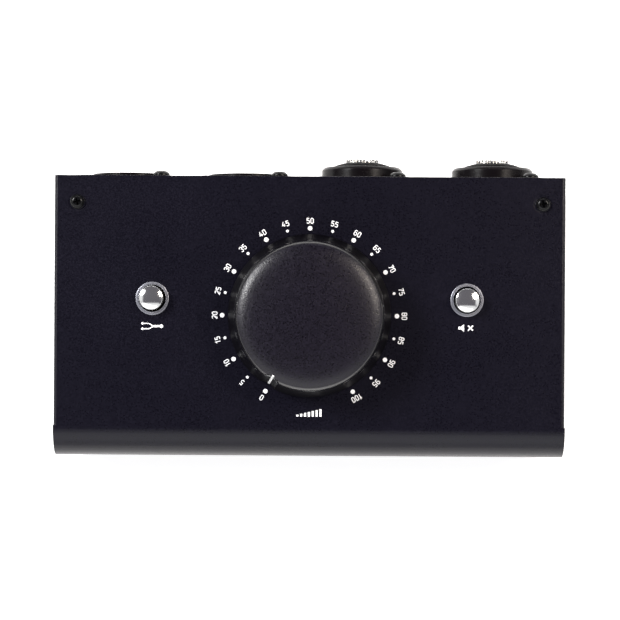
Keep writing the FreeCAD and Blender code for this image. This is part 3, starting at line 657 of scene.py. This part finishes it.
def plate_shape(outlines):
    """Flat shapes of the ink's thickness from closed outlines in millimetres."""
    bm = bmesh.new()
    for points in outlines:
        low = [bm.verts.new((x * mm, y * mm, 0)) for x, y in points]
        high = [bm.verts.new((x * mm, y * mm, ink_t)) for x, y in points]
        bm.faces.new(low)
        bm.faces.new(high)
        for k in range(len(points)):
            n = (k + 1) % len(points)
            bm.faces.new([low[k], low[n], high[n], high[k]])
    bmesh.ops.recalc_face_normals(bm, faces=bm.faces)
    return bm


def ribbon(points, width):
    """The closed outline of a line of that width through points, mitred at its corners."""
    left, right = [], []
    for k, p in enumerate(points):
        ways = []
        if k > 0:
            ways.append((Vector(p) - Vector(points[k - 1])).normalized())
        if k < len(points) - 1:
            ways.append((Vector(points[k + 1]) - Vector(p)).normalized())
        way = sum(ways, Vector((0, 0))).normalized()
        offset = Vector((-way.y, way.x)) * width / 2 / way.dot(ways[0])
        left.append(tuple(Vector(p) + offset))
        right.append(tuple(Vector(p) - offset))
    return left + right[::-1]


def circle(x, y, r):
    return [(x + r * math.cos(math.pi * k / 12), y + r * math.sin(math.pi * k / 12)) for k in range(24)]


a, b, c = 0.335, 0.66, 0.18
bowl = [(0, b), (c - a, b), (-a, b - c), (-a, c - b), (c - a, -b), (0, -b)]
digits = {
    "0": [bowl, [(-x, y) for x, y in bowl]],
    "1": [[(-0.30, 0.40), (0.02, b), (0.02, -b)]],
    "2": [[(-a, b - c - 0.06), (-a, b - c), (c - a, b), (a - c, b), (a, b - c), (a, 0.16), (-a, 0.12 - b), (-a, -b),
           (a, -b)]],
    "3": [[(-a, b - c - 0.04), (-a, b - c), (c - a, b), (a - c, b), (a, b - c), (a, 0.22), (a - 0.18, 0.04),
           (-0.08, 0.04)],
          [(a - 0.16, -0.04), (a, -0.2), (a, c - b), (a - c, -b), (c - a, -b), (-a, c - b), (-a, c - b + 0.04)]],
    "4": [[(-0.02, b), (-a - 0.04, -0.34), (a + 0.06, -0.34)], [(0.15, 0.1), (0.15, -b)]],
    "5": [[(a - 0.02, b), (0.04 - a, b), (0.02 - a, 0.1), (a - c, 0.12), (a, 0.12 - c), (a, c - b), (a - c, -b),
           (c - a, -b), (-a, c - b)]],
    "6": [[(a - 0.04, b), (c - a, b), (-a, b - c), (-a, c - b), (c - a, -b), (a - c, -b), (a, c - b), (a, 0.12 - c),
           (a - c, 0.12), (0.15 - a, 0.12)]],
    "7": [[(-a, b), (a, b), (a, b - 0.1), (-0.12, -b)]],
}
digits["8"] = digits["0"] + [[(0.15 - a, 0.02), (a - 0.15, 0.02)]]
digits["9"] = [[(-x, -y) for x, y in digits["6"][0]]]


def number_shape(text):
    """A number in condensed square digits, centred on the origin."""
    advances = [0.8 if digit == "1" else 1.07 for digit in text]
    outlines = []
    for k, digit in enumerate(text):
        x = sum(advances[:k]) + advances[k] / 2 - sum(advances) / 2
        for line in digits[digit]:
            outlines.append(ribbon([(x + u, v) for u, v in line], stroke))
    return plate_shape(outlines)


for k in range(dial_marks):
    swing = dial_start + k * dial_step
    stamp(number_shape(str(5 * k)), number_ring_r * math.sin(swing), number_ring_r * math.cos(swing), swing)
bars = []
for k in range(7):
    x, h = (k - 3) * 1.05, 0.5 + 0.26 * k
    bars.append([(x - 0.3, -1.0), (x + 0.3, -1.0), (x + 0.3, -1.0 + h), (x - 0.3, -1.0 + h)])
stamp(plate_shape(bars), 0, -26.4 * mm, 0)
button_low, button_high = panel_box("mono_ring")
ring_low, ring_high = panel_box("mute_ring")
button_x = (ring_low.x + ring_high.x) / 2
button_y = (button_low.y + button_high.y) / 2
sign_y = button_y - 7.56 * mm
merge = [ribbon([(-2.5, 0.72), (-0.9, 0.72), (0.15, 0.14), (2.2, 0.14)], 0.28),
         ribbon([(-2.5, -0.72), (-0.9, -0.72), (0.15, -0.14), (2.2, -0.14)], 0.28),
         circle(-2.6, 0.72, 0.34), circle(-2.6, -0.72, 0.34), circle(2.5, 0, 0.5)]
stamp(plate_shape(merge), -button_x, sign_y, 0)
cone = [(-2.3, -0.36), (-1.6, -0.36), (-0.75, -1.0), (-0.75, 1.0), (-1.6, 0.36), (-2.3, 0.36)]
arm, thick = 0.95, 0.17
plus = [(thick, thick), (thick, arm), (-thick, arm), (-thick, thick), (-arm, thick), (-arm, -thick),
        (-thick, -thick), (-thick, -arm), (thick, -arm), (thick, -thick), (arm, -thick), (arm, thick)]
cross = [(1.0 + (x - y) * 0.7071, (x + y) * 0.7071) for x, y in plus]
stamp(plate_shape([cone, cross]), button_x, sign_y, 0)
panel_printing = make_piece("panel_printing", ink, [print_white], crease=30)
fit(panel_printing, "housing", "black_powder_coat")

# The push buttons: a turned and anodised grey bezel ring pressed into the panel, its bore wall painted near-black as
# the shade in the narrow gap around the cap, and inside it a satin metal cap with a low dome. A white acetal stem
# carries each cap's push down to a switch on the board.
turned_lines, at, out = open_group(
    "turned_lines",
    [("Vector", "NodeSocketVector"), ("Lines per metre", "NodeSocketFloat", 4000.0)],
    [("Height", "NodeSocketFloat"), ("Line", "NodeSocketFloat")])
apart = add(turned_lines, "ShaderNodeSeparateXYZ", {0: at["Vector"]})
flat = add(turned_lines, "ShaderNodeCombineXYZ", {"X": apart.outputs["X"], "Y": apart.outputs["Y"]})
radius = add(turned_lines, "ShaderNodeVectorMath", {0: flat.outputs[0]}, operation="LENGTH")
phase = calc(turned_lines, "MULTIPLY", radius.outputs["Value"], at["Lines per metre"])
chatter = add(turned_lines, "ShaderNodeTexNoise", {
    "Scale": 1.0, "Detail": 2.0, "W": phase.outputs[0]}, noise_dimensions="1D")
wave = calc(turned_lines, "MULTIPLY", phase.outputs[0], 2 * math.pi)
ripple = calc(turned_lines, "SINE", wave.outputs[0])
both = calc(turned_lines, "MULTIPLY_ADD", ripple.outputs[0], 0.25, chatter.outputs["Fac"])
turned_lines.links.new(both.outputs[0], out["Height"])
turned_lines.links.new(chatter.outputs["Fac"], out["Line"])


def turned_finish(name, colour, rough, lines, depth, centre, spread=0.1, rough_spread=0.05, metal=1.0):
    """A metal turned about an axis out of the panel through centre, with its tool lines."""
    material = bpy.data.materials.new(name)
    material.use_nodes = True
    tree = material.node_tree
    shader = tree.nodes["Principled BSDF"]
    shader.inputs["Metallic"].default_value = metal
    here = add(tree, "ShaderNodeTexCoord")
    start = Matrix.Rotation(-tilt, 3, "X") @ Vector(level_joint["pos_m"]) + Vector(centre)
    square = add(tree, "ShaderNodeMapping", {
        "Vector": here.outputs["Object"], "Location": -start, "Rotation": (-tilt, 0, 0)})
    lathe_marks = add(tree, "ShaderNodeGroup", node_tree=turned_lines)
    tree.links.new(square.outputs[0], lathe_marks.inputs["Vector"])
    lathe_marks.inputs["Lines per metre"].default_value = lines
    dark = [c * (1 - spread) for c in colour] + [1.0]
    light = [c * (1 + spread) for c in colour] + [1.0]
    tone = add(tree, "ShaderNodeMix", {0: lathe_marks.outputs["Line"], 6: dark, 7: light}, data_type="RGBA")
    tree.links.new(tone.outputs[2], shader.inputs["Base Color"])
    gloss = add(tree, "ShaderNodeMapRange", {
        "Value": lathe_marks.outputs["Line"], "To Min": rough - rough_spread, "To Max": rough + rough_spread})
    tree.links.new(gloss.outputs[0], shader.inputs["Roughness"])
    relief = add(tree, "ShaderNodeBump", {"Height": lathe_marks.outputs["Height"], "Distance": depth})
    tree.links.new(relief.outputs[0], shader.inputs["Normal"])
    return material


def paint(node, material):
    """Gives a solid that stays as it is the finish of the real part."""
    frame["nodes"][node].data.materials.clear()
    frame["nodes"][node].data.materials.append(material)


# Near-black for the bezels' bore wall: painted shade in the narrow gap between each bezel and its cap.
bore_painted_shade = finish("bore_painted_shade", (0.008, 0.008, 0.008), 0.5, 3000.0, 0.005 * mm)
stem_white = finish("stem_white", (0.80, 0.79, 0.76), 0.38, 1500.0, 0.004 * mm, spread=0.04)
switch_black = finish("switch_black", (0.022, 0.022, 0.023), 0.48, 2500.0, 0.01 * mm)
bezel_r = 4.54 * mm
bezel_bore_r = 3.68 * mm
cap_r = 3.285 * mm
cap_top = 3.8 * mm
cap_dome = 0.55 * mm
for name, x, seat in (("mono", -button_x, (-0.15, 0.15)), ("mute", button_x, (-0.06, -0.06))):
    bezel_grey = turned_finish(
        name + "_bezel_grey", (0.32, 0.325, 0.365), 0.42, 2600.0, 0.008 * mm, (x, button_y, 0), spread=0.2)
    cap_satin = turned_finish(
        name + "_cap_satin", (0.74, 0.745, 0.745), 0.09, 9000.0, 0.0008 * mm, (x, button_y, 0), spread=0.06,
        rough_spread=0.03, metal=0.94)
    ring = lathe(rounded([
        (bezel_r, 0.0), (bezel_r, 0.45 * mm, 0.22 * mm), (bezel_bore_r, 0.45 * mm, 0.12 * mm),
        (bezel_bore_r, -3.2 * mm), (4.2 * mm, -3.2 * mm), (4.2 * mm, 0.0)]), 128)
    # The bore wall below the lip gets the painted shade, and the rest of the ring stays grey.
    for face in ring.faces:
        spot = face.calc_center_median()
        face.material_index = 1 if math.hypot(spot.x, spot.y) < 3.75 * mm and spot.z < 0.33 * mm else 0
    bmesh.ops.translate(ring, verts=ring.verts, vec=(x, button_y, 0))
    bezel = make_piece(name + "_bezel", ring, [bezel_grey, bore_painted_shade], crease=40)
    fit(bezel, "housing", "grey_bezel", name + "_ring")
    edge_r = cap_r - 0.42 * mm
    ball = (edge_r ** 2 + cap_dome ** 2) / (2 * cap_dome)
    top = [(edge_r * k / 20, cap_top - ball + math.sqrt(ball ** 2 - (edge_r * k / 20) ** 2)) for k in range(0, 21)]
    side_wall = rounded([top[-2], (cap_r, top[-1][1] - 0.12 * mm, 0.5 * mm), (cap_r, -5.2 * mm), (0, -5.2 * mm)], 8)
    cap = lathe([Vector(p) for p in top[:-2]] + side_wall, 128)
    bmesh.ops.translate(cap, verts=cap.verts, vec=(x + seat[0] * mm, button_y + seat[1] * mm, 0))
    button_cap = make_piece(name + "_button_cap", cap, [cap_satin], crease=50)
    fit(button_cap, name + "_button", "satin_metal", name + "_cap")
    paint(name + "_stem", stem_white)
    paint(name + "_switch", switch_black)

# The four sockets: black shells with square flanges. The outputs on the left are three-pin cups with gold pins, and
# the inputs on the right are combined sockets with a nylon core and a nickel bushing, toothed at its mouth.
shell_black = finish(
    "shell_black", (0.0042, 0.0032, 0.0040), 0.24, 1900.0, 0.004 * mm, spread=0.2, rough_spread=0.07, shine=0.13)
core_nylon = finish(
    "core_nylon", (0.004, 0.0037, 0.0042), 0.62, 2400.0, 0.008 * mm, spread=0.2, rough_spread=0.06, shine=0.04)
pin_gold = finish("pin_gold", (0.83, 0.62, 0.28), 0.22, 3500.0, 0.0015 * mm, spread=0.08, metal=1.0)
bushing_nickel = finish("bushing_nickel", (0.70, 0.69, 0.66), 0.2, 3000.0, 0.002 * mm, spread=0.08, metal=1.0)
tooth_count = 30
mouth_r = 4.45 * mm
gap_size = (1.3 * mm, 0.42 * mm, 1.1 * mm)
toothed, at, out = open_group(
    "toothed_mouth",
    [("Ring", "NodeSocketGeometry"), ("Teeth", "NodeSocketInt"), ("Ring radius", "NodeSocketFloat"),
     ("Gap", "NodeSocketVector"), ("Mouth", "NodeSocketFloat"), ("Finish", "NodeSocketMaterial")],
    [("Bushing", "NodeSocketGeometry")], "GeometryNodeTree")
points = add(toothed, "GeometryNodePoints", {"Count": at["Teeth"]})
index = add(toothed, "GeometryNodeInputIndex")
share = calc(toothed, "DIVIDE", index.outputs[0], at["Teeth"])
swing = calc(toothed, "MULTIPLY", share.outputs[0], 2 * math.pi)
sine = calc(toothed, "SINE", swing.outputs[0])
cosine = calc(toothed, "COSINE", swing.outputs[0])
px = calc(toothed, "MULTIPLY", cosine.outputs[0], at["Ring radius"])
py = calc(toothed, "MULTIPLY", sine.outputs[0], at["Ring radius"])
place = add(toothed, "ShaderNodeCombineXYZ", {"X": px.outputs[0], "Y": py.outputs[0], "Z": at["Mouth"]})
placed = add(toothed, "GeometryNodeSetPosition", {"Geometry": points.outputs[0], "Position": place.outputs[0]})
cube = add(toothed, "GeometryNodeMeshCube", {"Size": at["Gap"]})
facing = add(toothed, "ShaderNodeCombineXYZ", {"Z": swing.outputs[0]})
gaps = add(toothed, "GeometryNodeInstanceOnPoints", {
    "Points": placed.outputs[0], "Instance": cube.outputs["Mesh"], "Rotation": facing.outputs[0]})
real = add(toothed, "GeometryNodeRealizeInstances", {"Geometry": gaps.outputs["Instances"]})
cutting = add(toothed, "GeometryNodeMeshBoolean", {"Mesh 1": at["Ring"]}, operation="DIFFERENCE", solver="EXACT")
toothed.links.new(real.outputs["Geometry"], cutting.inputs["Mesh 2"])
plated = add(toothed, "GeometryNodeSetMaterial", {"Geometry": cutting.outputs["Mesh"], "Material": at["Finish"]})
toothed.links.new(plated.outputs["Geometry"], out["Bushing"])

for side in ("output_left", "output_right", "input_left", "input_right"):
    shell = make_piece(side + "_socket_shell", solid_copy(side + "_shell"), [shell_black], edge=0.22 * mm, steps=3)
    fit(shell, "housing", "black_shell_metal", side + "_shell")
    core = make_piece(side + "_core", solid_copy(side + "_insert"), [core_nylon], edge=0.15 * mm, steps=2)
    fit(core, "housing", "black_nylon", side + "_insert")
for side in ("output_left", "output_right"):
    pins = make_piece(side + "_contact_pins", solid_copy(side + "_pins"), [pin_gold], edge=0.5 * mm, steps=4, crease=25)
    fit(pins, "housing", "gold_contact", side + "_pins")
for side in ("input_left", "input_right"):
    shape = solid_copy(side + "_bushing")
    shape.transform(Matrix.Translation((-sockets[side].x, 0, -sockets[side].z)))
    shape.transform(Matrix.Rotation(math.pi / 2, 4, "X"))
    ring = run_tree(toothed, "teeth", {
        "Teeth": tooth_count, "Ring radius": mouth_r, "Gap": gap_size, "Mouth": panel_box(side + "_bushing")[1].y,
        "Finish": bushing_nickel}, shape=shape)
    ring.transform(Matrix.Translation((sockets[side].x, 0, sockets[side].z)) @ Matrix.Rotation(-math.pi / 2, 4, "X"))
    bushing = make_piece(side + "_toothed_bushing", ring, [bushing_nickel], crease=35)
    fit(bushing, "housing", "nickel_plate", side + "_bushing")

# The small jack between the inputs: a black nylon body on the connector board, its collar through the rear panel
# and a thin nickel nut on the outside.
mini_body = make_piece("small_jack_body", solid_copy("mini_jack_body"), [core_nylon], edge=0.12 * mm)
fit(mini_body, "housing", "black_nylon", "mini_jack_body")
mini_nut = make_piece("small_jack_nut", solid_copy("mini_jack_nut"), [bushing_nickel], edge=0.12 * mm)
fit(mini_nut, "housing", "nickel_plate", "mini_jack_nut")

# The works inside: a potentiometer under the knob, two green boards on spacers, and a flat cable between them. They
# are the solids as they stand, each with the finish of the real part.
inner = {
    "pot_housing": finish("pot_zinc", (0.50, 0.50, 0.51), 0.35, 1600.0, 0.004 * mm, metal=1.0),
    "pot_shaft": finish("shaft_brass", (0.72, 0.55, 0.28), 0.28, 2500.0, 0.003 * mm, metal=1.0),
    "pot_washer": finish("washer_zinc", (0.60, 0.60, 0.61), 0.30, 2500.0, 0.003 * mm, metal=1.0),
    "pot_nut": finish("nut_zinc", (0.58, 0.58, 0.59), 0.26, 2500.0, 0.003 * mm, metal=1.0),
    "control_board": finish("board_green", (0.012, 0.09, 0.035), 0.32, 900.0, 0.01 * mm, spread=0.35, patches=300.0),
    "board_spacers": finish("spacer_nickel", (0.68, 0.64, 0.52), 0.3, 2500.0, 0.003 * mm, metal=1.0),
    "control_header": finish("header_black", (0.02, 0.02, 0.021), 0.45, 2500.0, 0.008 * mm),
    "ribbon_cable": finish("ribbon_grey", (0.30, 0.30, 0.31), 0.5, 1200.0, 0.02 * mm, spread=0.1),
}
inner["connector_board"] = inner["control_board"]
inner["connector_header"] = inner["control_header"]
for node, material in inner.items():
    paint(node, material)

# The stage: a plain white floor, and the camera straight above the sloping panel at the photograph's distance.
camera = bpy.data.objects.new("camera", bpy.data.cameras.new("camera"))
camera.data.sensor_width = 36.0
camera.data.lens = 125.6
camera.data.clip_end = 20.0
above = Matrix.Translation((0.12 * mm, 1.54 * mm, 587 * mm))
camera.matrix_world = lean @ above @ Matrix.Rotation(math.radians(0.36), 4, "Z")
bpy.context.scene.collection.objects.link(camera)
bpy.context.scene.camera = camera

floor_mesh = bpy.data.meshes.new("floor")
floor_mesh.from_pydata([(-3, -3, -0.00002), (3, -3, -0.00002), (3, 3, -0.00002), (-3, 3, -0.00002)], [], [(0, 1, 2, 3)])
floor = bpy.data.objects.new("floor", floor_mesh)
bpy.context.scene.collection.objects.link(floor)
paper = bpy.data.materials.new("floor_paper")
paper.use_nodes = True
tree = paper.node_tree
shader = tree.nodes["Principled BSDF"]
shader.inputs["Base Color"].default_value = (0.82, 0.82, 0.82, 1)
shader.inputs["Roughness"].default_value = 0.9
shader.inputs["Specular IOR Level"].default_value = 0.1
under = add(tree, "ShaderNodeNewGeometry")
clear = calc(tree, "SUBTRACT", 1.0, under.outputs["Backfacing"])
tree.links.new(clear.outputs[0], shader.inputs["Alpha"])
path = add(tree, "ShaderNodeLightPath")
seen = calc(tree, "MAXIMUM", path.outputs["Is Camera Ray"], path.outputs["Is Glossy Ray"])
seen = calc(tree, "MAXIMUM", seen.outputs[0], path.outputs["Is Transmission Ray"])
glow = calc(tree, "MULTIPLY", seen.outputs[0], 0.6)
shader.inputs["Emission Color"].default_value = (1, 1, 1, 1)
tree.links.new(glow.outputs[0], shader.inputs["Emission Strength"])
floor_mesh.materials.append(paper)

world = bpy.data.worlds.new("studio")
bpy.context.scene.world = world
world.use_nodes = True
tree = world.node_tree
tree.nodes.clear()
around = add(tree, "ShaderNodeTexCoord")
square = add(tree, "ShaderNodeMapping", {"Vector": around.outputs["Generated"], "Rotation": (-tilt, 0, 0)})
rear = add(tree, "ShaderNodeVectorMath", {0: square.outputs[0], 1: (-10, 0, -10)}, operation="MAXIMUM")
shape = add(tree, "ShaderNodeMapping", {"Vector": rear.outputs[0], "Scale": (1.92, 1.18, 0)})
apart = add(tree, "ShaderNodeVectorMath", {0: shape.outputs[0]}, operation="LENGTH")
sides = add(tree, "ShaderNodeMapRange", {"Value": apart.outputs["Value"], "From Min": 1.04, "From Max": 1.28})
sides.interpolation_type = "SMOOTHSTEP"
way = add(tree, "ShaderNodeSeparateXYZ", {0: square.outputs[0]})
high = add(tree, "ShaderNodeMapRange", {
    "Value": way.outputs["Z"], "From Min": 0.2, "From Max": 0.55, "To Min": 0.15, "To Max": 1.0})
high.interpolation_type = "SMOOTHSTEP"
across = calc(tree, "ABSOLUTE", way.outputs["X"])
wide = add(tree, "ShaderNodeMapRange", {"Value": across.outputs[0], "From Min": 0.1, "From Max": 0.4})
sides = calc(tree, "MULTIPLY", sides.outputs[0], high.outputs[0])
sides = calc(tree, "MULTIPLY", sides.outputs[0], wide.outputs[0])
front = add(tree, "ShaderNodeMapRange", {
    "Value": way.outputs["Y"], "From Min": -0.42, "From Max": -0.30, "To Min": 1.0, "To Max": 0.0})
front.interpolation_type = "SMOOTHSTEP"
bright = calc(tree, "MAXIMUM", sides.outputs[0], front.outputs[0])
sky = add(tree, "ShaderNodeMix", {
    0: bright.outputs[0], 6: (0.06, 0.055, 0.075, 1), 7: (1.0, 1.0, 1.01, 1)}, data_type="RGBA")
path = add(tree, "ShaderNodeLightPath")
shown = add(tree, "ShaderNodeMix", {
    0: path.outputs["Is Camera Ray"], 6: sky.outputs[2], 7: (1, 1, 1, 1)}, data_type="RGBA")
backing = add(tree, "ShaderNodeBackground", {"Color": shown.outputs[2], "Strength": 1.0})
surface = add(tree, "ShaderNodeOutputWorld")
tree.links.new(backing.outputs[0], surface.inputs["Surface"])


def softbox(name, way, distance, width, height, radiance, colour=(1, 1, 1)):
    """A rectangular lamp that faces the panel's middle from a direction square to the panel."""
    lamp = bpy.data.lights.new(name, "AREA")
    lamp.shape = "RECTANGLE"
    lamp.size = width
    lamp.size_y = height
    lamp.energy = radiance * math.pi * width * height
    lamp.color = colour
    holder = bpy.data.objects.new(name, lamp)
    direction = Vector(way).normalized()
    turn = direction.to_track_quat("Z", "Y").to_matrix().to_4x4()
    holder.matrix_world = lean @ Matrix.Translation(direction * distance) @ turn
    bpy.context.scene.collection.objects.link(holder)


softbox("front_softbox", (-0.16, -0.74, 0.68), 1.3, 1.8, 0.9, 1.0)
softbox("left_softbox", (-0.665, 0.36, 0.655), 1.3, 0.4, 0.35, 46.0)
softbox("right_softbox", (0.60, 0.30, 0.74), 1.3, 0.45, 0.5, 16.0, (1.0, 0.90, 0.80))
softbox("rear_strip", (0.0, 0.97, 0.25), 1.3, 1.1, 0.16, 5.0)
bpy.context.scene.view_settings.view_transform = "Standard"
